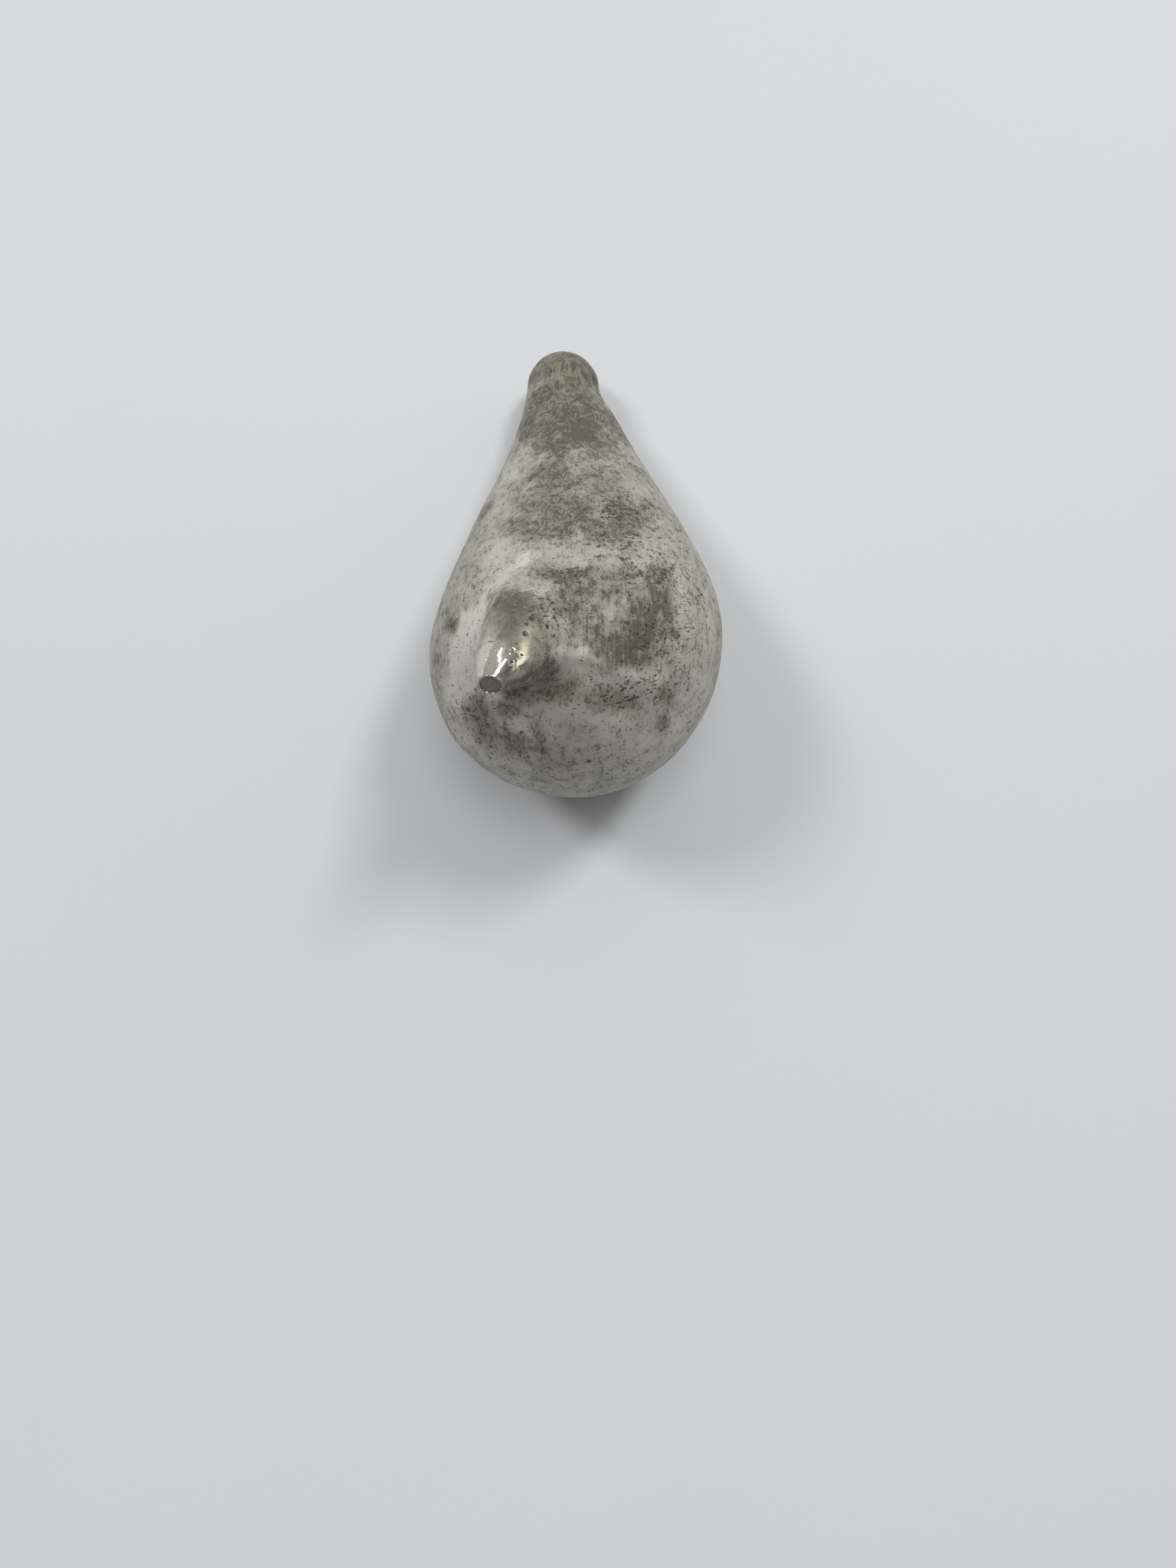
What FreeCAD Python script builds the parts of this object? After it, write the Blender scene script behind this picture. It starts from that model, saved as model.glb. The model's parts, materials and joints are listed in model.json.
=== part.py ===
"""Small solid metal casting: a teardrop that lies on a narrow ground flat, with a blunt beak
rising from the side of its fat end and a dark pin let into the beak's end.

Frame: origin on the ground flat under the middle of the belly, +Z up, +Y towards the tail,
+X to the right when the tail points away. Millimetres and degrees.
"""
import FreeCAD, Part
import os
import Sketcher

SIZES = {
    # belly and tail: two balls joined by a neck of shrinking rings
    "belly_radius": 19.0,
    "nose_reach": 1.2,         # the front's ball centre, ahead of the belly's widest ring
    "nose_side": -0.6,         # and to the left of it
    "nose_cap": 45.0,          # the front is one ball from this angle on
    "tail_radius": 5.15,
    "tail_reach": 37.6,        # the tail's ball centre, behind the widest ring
    "tail_side": -2.0,
    "tail_cap": 45.0,
    "tail_clearance": 0.3,     # the tail's end hangs this far above the surface
    "neck_arch": 1.1,          # the neck's underside rises by this much more
    "flat_depth": 0.75,        # ground off the underside
    # beak: rings on a spine that bends down as it leaves the belly
    "beak_root_side": -3.6,
    "beak_root_ahead": -2.0,
    "beak_root_depth": 7.1,    # below the top of the belly
    "beak_heading": 29.5,      # of its spine, from straight ahead towards the left
    "beak_face_heading": 12.0,  # its end is dressed facing nearer straight ahead
    "beak_root_tilt": 28.0,    # off the vertical where the spine starts
    "beak_tip_tilt": 44.0,     # and where it ends
    "beak_length": 19.0,       # along the spine, from its root inside the belly
    "beak_root_radius": 7.2,
    "beak_tip_radius": 1.32,
    "beak_fillet": 2.6,
    # pin bonded into the beak's end
    "pin_radius": 1.13,
    "pin_gap": 0.02,
    "pin_recess": 0.1,
    "pin_lead": 0.2,           # chamfer on its inner end
    "bore_depth": 8.0,
}

# The neck's rings: share of tail_reach, share of the swell from the tail's radius to the
# belly's, and share of tail_side.
NECK_RINGS = (
    (0.00, 1.000, 0.00),
    (0.16, 0.920, -0.19),
    (0.32, 0.760, -0.17),
    (0.48, 0.565, -0.02),
    (0.64, 0.360, 0.19),
    (0.80, 0.180, 0.46),
    (0.90, 0.080, 0.68),
    (1.00, 0.000, 1.00),
)
BALL_SHARES = (1.0, 2 / 3, 1 / 3)          # rings on a ball, as shares of its cap angle
NOSE_DRIFT = (1.0, 0.93, 0.6)              # how much of nose_side each of the front's has
BEAK_SHARES = (0.0, 0.25, 0.5, 0.75, 1.0)  # rings on the spine, as shares of its length
BEAK_HEEL = (-0.25, 0.6)                   # a narrower ring deeper in the belly: its share
                                           # of the spine and of the root's radius
BEAK_SWELL = 0.72                          # under 1 swells the beak out from a plain cone

SAME_PLACE = 0.01                          # points closer than this coincide

BELLY_UP = "(Sizes.belly_radius - Sizes.flat_depth)"
TAIL_UP = "(Sizes.tail_radius + Sizes.tail_clearance)"
SWELL = "(Sizes.belly_radius - Sizes.tail_radius)"


def make_sheet(doc):
    """The driving dimensions, one row each."""
    sheet = doc.addObject("Spreadsheet::Sheet", "Sizes")
    for row, (word, number) in enumerate(SIZES.items(), start=1):
        sheet.set(f"A{row}", word)
        sheet.set(f"B{row}", str(number))
        sheet.setAlias(f"B{row}", word)
    doc.recompute()


def origin_plane(body, role):
    """The body's own origin plane with this role."""
    return next(item for item in body.Origin.OriginFeatures if item.Role == role)


def place(feature, body, plane, centre, turn="rotation(0; 0; 0)"):
    """Attach to an origin plane, at an offset and turn given as expressions."""
    feature.AttachmentSupport = [(origin_plane(body, plane), "")]
    feature.MapMode = "FlatFace"
    offset = f"placement(vector({'; '.join(centre)}); {turn})"
    feature.setExpression("AttachmentOffset", offset)


def ring(body, name, plane, centre, radius, turn="rotation(0; 0; 0)"):
    """A sketch of one circle about its own origin."""
    sketch = body.newObject("Sketcher::SketchObject", name)
    place(sketch, body, plane, centre, turn)
    sketch.addGeometry(Part.Circle(FreeCAD.Vector(), FreeCAD.Vector(0, 0, 1), 1.0), False)
    sketch.addConstraint(Sketcher.Constraint("Coincident", 0, 3, -1, 1))
    number = sketch.addConstraint(Sketcher.Constraint("Radius", 0, 1.0))
    sketch.renameConstraint(number, "ring_radius")
    sketch.setExpression("Constraints.ring_radius", radius)
    return sketch


def loft(body, name, rings):
    """A smooth solid through rings in order."""
    feature = body.newObject("PartDesign::AdditiveLoft", name)
    feature.Profile = rings[0]
    feature.Sections = rings[1:]
    return feature


def ball_cap(body, name, centre, radius, low, high):
    """The part of a ball between two latitudes about its own axis, which points at -Y."""
    cap = body.newObject("PartDesign::AdditiveSphere", name)
    place(cap, body, "XZ_Plane", centre)
    cap.setExpression("Radius", radius)
    cap.setExpression("Angle1", low)
    cap.setExpression("Angle2", high)
    return cap


def teardrop(body):
    """Front ball, belly, neck and tail ball. A ring's centre is (side, up, ahead)."""
    rings = []
    for share, drift in zip(BALL_SHARES, NOSE_DRIFT):
        angle = f"(Sizes.nose_cap * {share})"
        centre = (
            f"Sizes.nose_side * {drift}",
            BELLY_UP,
            f"Sizes.nose_reach + Sizes.belly_radius * sin({angle})",
        )
        radius = f"Sizes.belly_radius * cos({angle})"
        rings.append(ring(body, f"NoseRing{len(rings)}", "XZ_Plane", centre, radius))
    for reach, swell, side in NECK_RINGS:
        centre = (
            f"Sizes.tail_side * {side}",
            f"{TAIL_UP} + ({BELLY_UP} - {TAIL_UP}) * {swell}"
            f" + Sizes.neck_arch * {4 * swell * (1 - swell)}",
            f"-Sizes.tail_reach * {reach}",
        )
        radius = f"Sizes.tail_radius + {SWELL} * {swell}"
        rings.append(ring(body, f"NeckRing{len(rings)}", "XZ_Plane", centre, radius))
    for share in reversed(BALL_SHARES):
        angle = f"(Sizes.tail_cap * {share})"
        centre = (
            "Sizes.tail_side",
            TAIL_UP,
            f"-Sizes.tail_reach - Sizes.tail_radius * sin({angle})",
        )
        radius = f"Sizes.tail_radius * cos({angle})"
        rings.append(ring(body, f"TailRing{len(rings)}", "XZ_Plane", centre, radius))
    loft(body, "BellyAndNeck", rings)
    nose = ("Sizes.nose_side", BELLY_UP, "Sizes.nose_reach")
    ball_cap(body, "Nose", nose, "Sizes.belly_radius", "Sizes.nose_cap", "90")
    tail = ("Sizes.tail_side", TAIL_UP, "-Sizes.tail_reach")
    ball_cap(body, "Tail", tail, "Sizes.tail_radius", "-90", "-Sizes.tail_cap")


def spine_frame(share):
    """Centre and turn of the beak's cross-section at a share of its bent spine."""
    bend = "(Sizes.beak_tip_tilt - Sizes.beak_root_tilt)"
    radius = f"(Sizes.beak_length * 57.29578 / {bend})"
    tilt = f"(Sizes.beak_root_tilt + {bend} * {share})"
    out = f"({radius} * (cos(Sizes.beak_root_tilt) - cos({tilt})))"
    rise = f"({radius} * (sin({tilt}) - sin(Sizes.beak_root_tilt)))"
    centre = (
        f"Sizes.beak_root_side - {out} * sin(Sizes.beak_heading)",
        f"-Sizes.beak_root_ahead - {out} * cos(Sizes.beak_heading)",
        f"{BELLY_UP} + Sizes.belly_radius - Sizes.beak_root_depth + {rise}",
    )
    heading = f"(Sizes.beak_heading + (Sizes.beak_face_heading - Sizes.beak_heading) * {share})"
    return centre, f"rotation(-{heading}; 0; {tilt})"


def beak(body):
    """The beak as a loft of rings on its spine, with a fillet where it leaves the belly."""
    belly = body.Tip.Shape.copy()
    heel_share, heel_width = BEAK_HEEL
    centre, turn = spine_frame(heel_share)
    heel_radius = f"Sizes.beak_root_radius * {heel_width}"
    rings = [ring(body, "BeakHeel", "XY_Plane", centre, heel_radius, turn)]
    for share in BEAK_SHARES:
        centre, turn = spine_frame(share)
        swell = (1 - share) ** BEAK_SWELL
        radius = (
            "Sizes.beak_tip_radius"
            f" + (Sizes.beak_root_radius - Sizes.beak_tip_radius) * {swell}"
        )
        rings.append(ring(body, f"BeakRing{len(rings)}", "XY_Plane", centre, radius, turn))
    cone = loft(body, "Beak", rings)
    body.Document.recompute()
    fillet = body.newObject("PartDesign::Fillet", "BeakFillet")
    fillet.Base = (cone, root_edges(cone, belly))
    fillet.setExpression("Radius", "Sizes.beak_fillet")


def root_edges(cone, belly):
    """Names of the edges that the beak adds on the belly's surface, clear of its own edges."""
    own_edges = Part.makeCompound(belly.Edges)
    names = []
    for number, edge in enumerate(cone.Shape.Edges, start=1):
        middle = Part.Vertex(edge.valueAt((edge.FirstParameter + edge.LastParameter) / 2))
        on_belly = middle.distToShape(belly.Shells[0])[0] < SAME_PLACE
        if on_belly and middle.distToShape(own_edges)[0] > SAME_PLACE:
            names.append(f"Edge{number}")
    return names


def ground_flat(body):
    """Grind away everything below the origin plane."""
    reach = "Sizes.tail_reach + Sizes.belly_radius"
    sketch = ring(body, "FlatSketch", "XY_Plane", ("0", "0", "0"), reach)
    cut = body.newObject("PartDesign::Pocket", "GroundFlat")
    cut.Profile = sketch
    cut.setExpression("Length", "Sizes.belly_radius")


def pin_bore(body):
    """Blind bore down the beak's axis from its end face."""
    centre, turn = spine_frame(1.0)
    radius = "Sizes.pin_radius + Sizes.pin_gap"
    sketch = ring(body, "BoreSketch", "XY_Plane", centre, radius, turn)
    cut = body.newObject("PartDesign::Pocket", "PinBore")
    cut.Profile = sketch
    cut.setExpression("Length", "Sizes.bore_depth")


def make_cast_body(doc):
    """The casting: teardrop, beak, ground flat and bore."""
    body = doc.addObject("PartDesign::Body", "CastBody")
    body.Label = "cast_body"
    teardrop(body)
    doc.recompute()
    beak(body)
    ground_flat(body)
    pin_bore(body)
    return body


def make_beak_pin(doc):
    """A plain pin seated on the bore's floor, its outer face just inside the beak's end."""
    body = doc.addObject("PartDesign::Body", "BeakPin")
    body.Label = "beak_pin"
    centre, turn = spine_frame(1.0)
    body.setExpression("Placement", f"placement(vector({'; '.join(centre)}); {turn})")
    sketch = ring(body, "PinSketch", "XY_Plane", ("0", "0", "-Sizes.bore_depth"),
                  "Sizes.pin_radius")
    pad = body.newObject("PartDesign::Pad", "Pin")
    pad.Profile = sketch
    pad.setExpression("Length", "Sizes.bore_depth - Sizes.pin_recess")
    doc.recompute()
    lowest = min(range(len(pad.Shape.Edges)), key=lambda index: low_end(pad.Shape.Edges[index]))
    chamfer = body.newObject("PartDesign::Chamfer", "LeadIn")
    chamfer.Base = (pad, [f"Edge{lowest + 1}"])
    chamfer.setExpression("Size", "Sizes.pin_lead")
    return body


def low_end(edge):
    """Height of the top of an edge, which is least for the pin's inner rim."""
    return edge.BoundBox.ZMax


def check(doc, bodies):
    """Stop if any object failed or any body isn't one valid solid."""
    for item in doc.Objects:
        if "Invalid" in item.State or "Error" in item.State:
            raise RuntimeError(f"{item.Name} failed: {item.State}")
    for body in bodies:
        shape = body.Shape
        if shape.isNull() or not shape.isValid() or len(shape.Solids) != 1:
            raise RuntimeError(f"{body.Label} isn't one valid solid")


def main():
    doc = FreeCAD.newDocument("BeakedTeardrop")
    make_sheet(doc)
    bodies = [make_cast_body(doc), make_beak_pin(doc)]
    doc.recompute()
    check(doc, bodies)
    os.makedirs("parts", exist_ok=True)
    for body in bodies:
        body.Shape.exportStep(f"parts/{body.Label}.step")
        print(body.Label, round(body.Shape.Volume, 2), body.Shape.optimalBoundingBox())


main()
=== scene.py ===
"""Small cast white-metal teardrop with a blunt beak and a dark pin in the beak's end.

Builds the weathered casting and its pin around the CAD frame, and the pale table, soft
lights and camera they are seen with. Lengths are in metres; the settings give them in
millimetres where that reads better.
"""
import json
import random
from functools import cache
from math import cos, pi, radians, sin, tan

import bpy
import numpy as np
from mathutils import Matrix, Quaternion, Vector, kdtree, noise

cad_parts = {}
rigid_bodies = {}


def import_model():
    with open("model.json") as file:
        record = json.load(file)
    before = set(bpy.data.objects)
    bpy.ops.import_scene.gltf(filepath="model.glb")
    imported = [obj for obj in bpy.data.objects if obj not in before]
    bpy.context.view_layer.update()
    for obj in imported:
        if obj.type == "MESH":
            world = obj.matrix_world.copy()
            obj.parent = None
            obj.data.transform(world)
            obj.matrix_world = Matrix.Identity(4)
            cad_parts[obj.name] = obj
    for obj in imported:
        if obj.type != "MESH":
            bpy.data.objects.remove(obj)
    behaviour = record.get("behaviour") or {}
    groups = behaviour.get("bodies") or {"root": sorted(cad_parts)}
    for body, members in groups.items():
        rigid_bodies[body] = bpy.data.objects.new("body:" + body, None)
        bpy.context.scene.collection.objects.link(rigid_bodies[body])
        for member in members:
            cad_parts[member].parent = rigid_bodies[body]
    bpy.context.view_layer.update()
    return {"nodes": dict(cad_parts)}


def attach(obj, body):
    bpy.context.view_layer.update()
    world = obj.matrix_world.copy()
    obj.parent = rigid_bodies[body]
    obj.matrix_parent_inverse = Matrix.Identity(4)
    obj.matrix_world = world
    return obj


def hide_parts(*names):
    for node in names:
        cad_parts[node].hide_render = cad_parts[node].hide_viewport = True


bl_info = {
    "name": "Beaked Teardrop Casting",
    "version": (1, 0, 0),
    "blender": (4, 5, 0),
    "location": "3D View > Sidebar > Casting",
    "description": "Weathered metal teardrop with a beak, its pin, and a pale table "
                   "to see it on",
    "category": "Object",
}

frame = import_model()

MM = 0.001
BODY_NODE = "cast_body"
PIN_NODE = "beak_pin"
HAIR = 0.01 * MM        # finer than any real detail, to tell which face a point is on
MERGE_GAP = 1e-6        # points nearer than this are one point
BORE_REACH = 9 * MM     # a little deeper than the bore in the beak's end
BEAK_SPINE = 11 * MM    # length of the spine, down from the beak's end
SMOOTHING = 0.5


# ------------------------------------------------------------------ settings

class CastingSettings(bpy.types.PropertyGroup):
    """The casting's surface: mesh, form and metal."""

    cell: bpy.props.FloatProperty(
        name="Cell", description="Spacing of the first mesh, in millimetres",
        default=0.56, min=0.2)
    wave_depth: bpy.props.FloatProperty(
        name="Wave depth", description="Height of the hand-dressed waves, in millimetres",
        default=0.09, min=0.0)
    wave_length: bpy.props.FloatProperty(
        name="Wave length", description="Width of one wave, in millimetres",
        default=9.0, min=1.0)
    ridge_height: bpy.props.FloatProperty(
        name="Ridge height", description="Height of the soft ridge beside the beak, in mm",
        default=0.35, min=0.0)
    lip_round: bpy.props.FloatProperty(
        name="Lip rounding", description="Rounding of the lip round the pin, in millimetres",
        default=0.035, min=0.0)
    metal: bpy.props.FloatVectorProperty(
        name="Metal", description="Rubbed clean metal", subtype="COLOR",
        default=(0.7, 0.69, 0.625))
    worn: bpy.props.FloatVectorProperty(
        name="Worn metal", description="Metal under a thin film", subtype="COLOR",
        default=(0.315, 0.3, 0.243))
    tarnish: bpy.props.FloatVectorProperty(
        name="Tarnish", description="Grey film on the metal", subtype="COLOR",
        default=(0.088, 0.08, 0.065))
    olive: bpy.props.FloatVectorProperty(
        name="Olive", description="Olive brown film", subtype="COLOR",
        default=(0.235, 0.22, 0.15))
    pit: bpy.props.FloatVectorProperty(
        name="Pit", description="Dirt in the pits", subtype="COLOR",
        default=(0.05, 0.045, 0.032))
    brass: bpy.props.FloatVectorProperty(
        name="Brass", description="Yellow metal rubbed bright on the beak", subtype="COLOR",
        default=(0.85, 0.72, 0.46))
    shine: bpy.props.FloatVectorProperty(
        name="Shine", description="Metal polished bright at the beak's end", subtype="COLOR",
        default=(0.72, 0.69, 0.59))
    seed: bpy.props.IntProperty(
        name="Seed", description="Which scatter of pits", default=7)


class PinSettings(bpy.types.PropertyGroup):
    """The pin let into the beak's end."""

    dish: bpy.props.FloatProperty(
        name="Dish", description="How far the face's middle lies below its rim, in mm",
        default=0.03, min=0.0)
    rim: bpy.props.FloatProperty(
        name="Rim", description="Width of the face's rounded rim, in millimetres",
        default=0.06, min=0.0)
    colour: bpy.props.FloatVectorProperty(
        name="Colour", description="Dull dark face", subtype="COLOR",
        default=(0.235, 0.22, 0.195))


class StageSettings(bpy.types.PropertyGroup):
    """Table, light and camera."""

    table: bpy.props.FloatVectorProperty(
        name="Table", description="Pale table top", subtype="COLOR",
        default=(0.8, 0.81, 0.83))
    camera_height: bpy.props.FloatProperty(
        name="Camera height", description="Above the table", subtype="DISTANCE",
        default=0.173, min=0.05)
    camera_side: bpy.props.FloatProperty(
        name="Camera side", description="To the right of the belly's middle",
        subtype="DISTANCE", default=0.0015)
    camera_ahead: bpy.props.FloatProperty(
        name="Camera ahead", description="Towards the fat end from the belly's middle",
        subtype="DISTANCE", default=0.0184)
    lens: bpy.props.FloatProperty(
        name="Lens", description="Focal length on a 36 mm sensor", default=27.07, min=1.0)
    lamp_distance: bpy.props.FloatProperty(
        name="Lamp distance", description="From the casting to each lamp",
        subtype="DISTANCE", default=2.0, min=0.1)
    lamp_power: bpy.props.FloatProperty(
        name="Lamp power", description="Share of each lamp's full power", default=1.0, min=0.0)
    room: bpy.props.FloatProperty(
        name="Room light", description="Light from all round", default=0.11, min=0.0)
    window: bpy.props.FloatProperty(
        name="Window light", description="Light added from beyond the tail", default=0.42,
        min=0.0)


# ------------------------------------------------------------------ small tools

def pick_only(piece):
    """Select one object and make it active."""
    for other in bpy.context.selected_objects:
        other.select_set(False)
    piece.hide_set(False)
    piece.select_set(True)
    bpy.context.view_layer.objects.active = piece


def edit(piece, mode="FACE"):
    """Go into edit mode on one object, with nothing selected."""
    pick_only(piece)
    bpy.ops.object.mode_set(mode="EDIT")
    bpy.ops.mesh.select_mode(type=mode)
    bpy.ops.mesh.select_all(action="DESELECT")


def leave_edit():
    bpy.ops.object.mode_set(mode="OBJECT")


def edit_faces(piece, chosen):
    """Go into edit mode with the faces selected that the test chooses."""
    edit(piece)
    leave_edit()
    for face in piece.data.polygons:
        face.select = bool(chosen(face))
    bpy.ops.object.mode_set(mode="EDIT")


def apply_modifier(piece, kind, **values):
    """Add a modifier, set it and apply it."""
    pick_only(piece)
    modifier = piece.modifiers.new(kind.title(), kind)
    for name, value in values.items():
        setattr(modifier, name, value)
    bpy.ops.object.modifier_apply(modifier=modifier.name)


def points_of(mesh):
    """A mesh's points as an array, one row each."""
    flat = np.empty(len(mesh.vertices) * 3)
    mesh.vertices.foreach_get("co", flat)
    return flat.reshape(-1, 3)


def normals_of(mesh):
    """A mesh's point normals as an array, one row each."""
    flat = np.empty(len(mesh.vertices) * 3)
    mesh.vertices.foreach_get("normal", flat)
    return flat.reshape(-1, 3)


def set_points(mesh, points):
    mesh.vertices.foreach_set("co", points.ravel())
    mesh.update()


def smooth_step(values, low, high):
    """0 below low, 1 above high, and a smooth rise between."""
    share = np.clip((values - low) / (high - low), 0.0, 1.0)
    return share * share * (3 - 2 * share)


@cache
def seat_of_pin():
    """Middle of the pin's outer face, the way it faces, and the pin's radius and length."""
    points = points_of(frame["nodes"][PIN_NODE].data)
    middle = (points.min(0) + points.max(0)) / 2
    axis = np.linalg.svd(points - points.mean(0), full_matrices=False)[2][0]
    axis = axis * np.sign(axis[2])
    along = (points - middle) @ axis
    radius = np.linalg.norm(points - middle - np.outer(along, axis), axis=1).max()
    return middle + axis * along.max(), axis, radius, np.ptp(along)


@cache
def beak_end():
    """The beak's end face: its middle, the way it faces, its radius and its bore's radius."""
    pin_face, axis, pin_radius, _ = seat_of_pin()
    points = points_of(frame["nodes"][BODY_NODE].data)
    along = (points - pin_face) @ axis
    top = along.max()
    on_face = points[along > top - HAIR]
    centre = pin_face + axis * top
    radii = np.linalg.norm(on_face - centre, axis=1)
    return centre, axis, radii.max(), radii.min()


# ------------------------------------------------------------------ the casting's form

def copy_of_casting():
    """A merged copy of the CAD casting with its bore stopped up."""
    pick_only(frame["nodes"][BODY_NODE])
    bpy.ops.object.duplicate()
    piece = bpy.context.active_object
    bpy.ops.object.parent_clear(type="CLEAR_KEEP_TRANSFORM")
    piece.name = piece.data.name = "weathered_casting"
    for key in list(piece.keys()):
        del piece[key]
    piece.data.materials.clear()
    edit(piece, "VERT")
    bpy.ops.mesh.select_all(action="SELECT")
    bpy.ops.mesh.remove_doubles(threshold=MERGE_GAP)
    leave_edit()
    centre, axis, _, bore_radius = beak_end()
    points = points_of(piece.data) - centre
    radii = np.linalg.norm(points - np.outer(points @ axis, axis), axis=1)
    in_bore = (radii < bore_radius + HAIR) & (points @ axis > -BORE_REACH)
    edit_faces(piece, lambda face: all(in_bore[index] for index in face.vertices))
    bpy.ops.mesh.delete(type="FACE")
    bpy.ops.mesh.select_mode(type="EDGE")
    bpy.ops.mesh.select_non_manifold()
    bpy.ops.mesh.edge_face_add()
    leave_edit()
    return piece


def lay_on_cad(piece):
    """Lay the mesh on the CAD surface and smooth out the facets of the CAD mesh."""
    apply_modifier(piece, "SHRINKWRAP", target=frame["nodes"][BODY_NODE],
                   wrap_method="NEAREST_SURFACEPOINT")
    apply_modifier(piece, "SMOOTH", factor=SMOOTHING, iterations=3)


def even_mesh(piece, cell):
    """An even mesh on the CAD surface."""
    apply_modifier(piece, "REMESH", mode="VOXEL", voxel_size=cell, use_smooth_shade=True)
    apply_modifier(piece, "SMOOTH", factor=SMOOTHING, iterations=4)
    lay_on_cad(piece)


def refine(piece, chosen):
    """Halve the spacing of the faces that the test chooses."""
    edit_faces(piece, chosen)
    bpy.ops.mesh.subdivide(number_cuts=1, smoothness=0.6)
    leave_edit()


def beak_distance(points):
    """How far each point is from the beak's lower spine, in metres."""
    centre, axis, _, _ = beak_end()
    root = centre - axis * BEAK_SPINE
    span = centre - root
    share = np.clip((points - root) @ span / (span @ span), 0, 1)
    return np.linalg.norm(points - root - np.outer(share, span), axis=1)


def crisp_end(piece, lip_round):
    """Cut the beak's end off clean and draw it out to a thin lip round the bore."""
    centre, axis, radius, bore_radius = beak_end()
    cut_back = 0.45 * MM
    edit(piece)
    bpy.ops.mesh.select_all(action="SELECT")
    bpy.ops.mesh.bisect(plane_co=centre - axis * cut_back, plane_no=axis, clear_outer=True,
                        use_fill=False, threshold=1e-7)
    leave_edit()
    # rings from the cut end, over the lip and into the bore: radius, depth below the end
    steps = (
        (radius + 0.035 * MM, 0.12 * MM),
        (radius, lip_round),
        (radius - 0.3 * lip_round, 0.3 * lip_round),
        (radius - lip_round, 0.0),
        (bore_radius + 0.5 * lip_round, 0.0),
        (bore_radius, 0.5 * lip_round),
        (bore_radius, 0.7 * MM),
    )
    for ring_radius, depth in steps:
        edit(piece, "EDGE")
        bpy.ops.mesh.select_non_manifold()
        bpy.ops.mesh.extrude_region_move()
        leave_edit()
        ring = [point for point in piece.data.vertices if point.select]
        for point in ring:
            offset = np.array(point.co) - centre
            out = offset - axis * (offset @ axis)
            out = out / np.linalg.norm(out)
            point.co = centre + out * ring_radius - axis * depth
    edit(piece, "EDGE")
    bpy.ops.mesh.select_non_manifold()
    bpy.ops.mesh.edge_face_add()
    leave_edit()


# ------------------------------------------------------------------ hand-dressed surface

# Places are in plan from the middle of the belly, to the right and towards the tail, and
# lengths are in millimetres. Headings are in degrees, anticlockwise from the right.

# Pits that can be seen one by one on and round the beak: place, radius and depth.
BEAK_PITS = (
    ((-4.7, 0.0), 0.50, 0.16),
    ((-5.4, -1.9), 0.44, 0.18),
    ((-5.3, -0.7), 0.28, 0.14),
    ((-3.6, 1.4), 0.30, 0.16),
    ((-3.0, -0.8), 0.38, 0.20),
    ((-2.3, 1.3), 0.28, 0.14),
    ((-2.2, 0.3), 0.34, 0.20),
    ((-1.8, -0.6), 0.26, 0.14),
    ((-6.7, -3.9), 0.34, 0.05),
    ((-5.8, -4.4), 0.24, 0.08),
    ((-6.8, -5.3), 0.26, 0.08),
    ((-2.2, -1.8), 0.24, 0.12),
)

# Knocks, scratches and casting flaws: place, length, width, depth and heading.
KNOCKS = (
    ((-17.6, -2.8), 1.8, 0.7, 0.35, 75.0),
    ((-14.6, -8.4), 1.1, 0.3, 0.18, 105.0),
    ((1.6, -15.7), 0.9, 0.5, 0.22, 10.0),
    ((8.2, 2.1), 1.6, 0.16, 0.07, 118.0),
    ((8.6, 1.9), 1.3, 0.16, 0.07, 112.0),
    ((9.8, 16.8), 0.9, 0.6, 0.20, 110.0),
    ((-15.1, 0.9), 0.9, 0.6, 0.16, 60.0),
    ((-6.3, -12.2), 0.8, 0.4, 0.14, -25.0),
    ((-9.2, -2.8), 2.2, 0.26, 0.04, -28.0),
)

# Where pits lie thickest: middle, spread, and length of a pit.
PIT_FIELDS = (
    ((5.6, 13.0), (2.4, 2.4), 0.42),
    ((5.6, 13.0), (3.2, 3.0), 0.34),
    ((8.6, 8.8), (3.4, 3.6), 0.34),
    ((10.0, -1.0), (2.6, 4.6), 0.34),
    ((13.0, 2.0), (1.6, 5.0), 0.30),
    ((6.4, -7.6), (3.4, 1.6), 0.32),
    ((-2.0, 5.6), (2.6, 1.4), 0.30),
    ((-2.6, 1.2), (1.5, 1.6), 0.26),
    ((0.0, 2.0), (9.0, 11.0), 0.28),
)
PIT_COUNT = 300

# Crest of the soft ridge to the right of the beak, and of its higher root at the beak.
RIDGE = ((-4.0, -4.6), (-1.4, -3.8), (1.3, -3.5), (4.3, -4.8), (6.8, -6.1), (10.0, -6.8))
RIDGE_ROOT = ((-4.6, -4.6), (-3.4, -4.4), (-2.0, -4.1))
RIDGE_HALF_WIDTH = 1.5
ROOT_HALF_WIDTH = 2.2
ROOT_HEIGHT = 2.2               # of the ridge's height
RIDGE_FADE = (39.0 * MM, 42.5 * MM)     # heights over which it dies out, up the beak

FINE_WAVES = (0.35, 2.3)        # height and rate of the finer waves, against the long ones
UPWARD = (-0.2, 0.3)            # rise of a normal over which the upper side begins
RIM_REACH = 1.6                 # a dent's raised rim ends at this share of its half size
RIM_RISE = 0.12                 # height of that rim, as a share of the dent's depth
DIRTY_DEPTH = 0.07              # dents at least this deep, in millimetres, hold full dirt


def add_waves(points, normals, depth, length):
    """Long shallow waves left by filing and rubbing by hand."""
    lift = np.empty(len(points))
    height, rate = FINE_WAVES
    for index, point in enumerate(points):
        spot = Vector(point) / length
        lift[index] = noise.noise(spot) + height * noise.noise(spot * rate)
    return points + normals * (lift * depth)[:, None]


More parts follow.
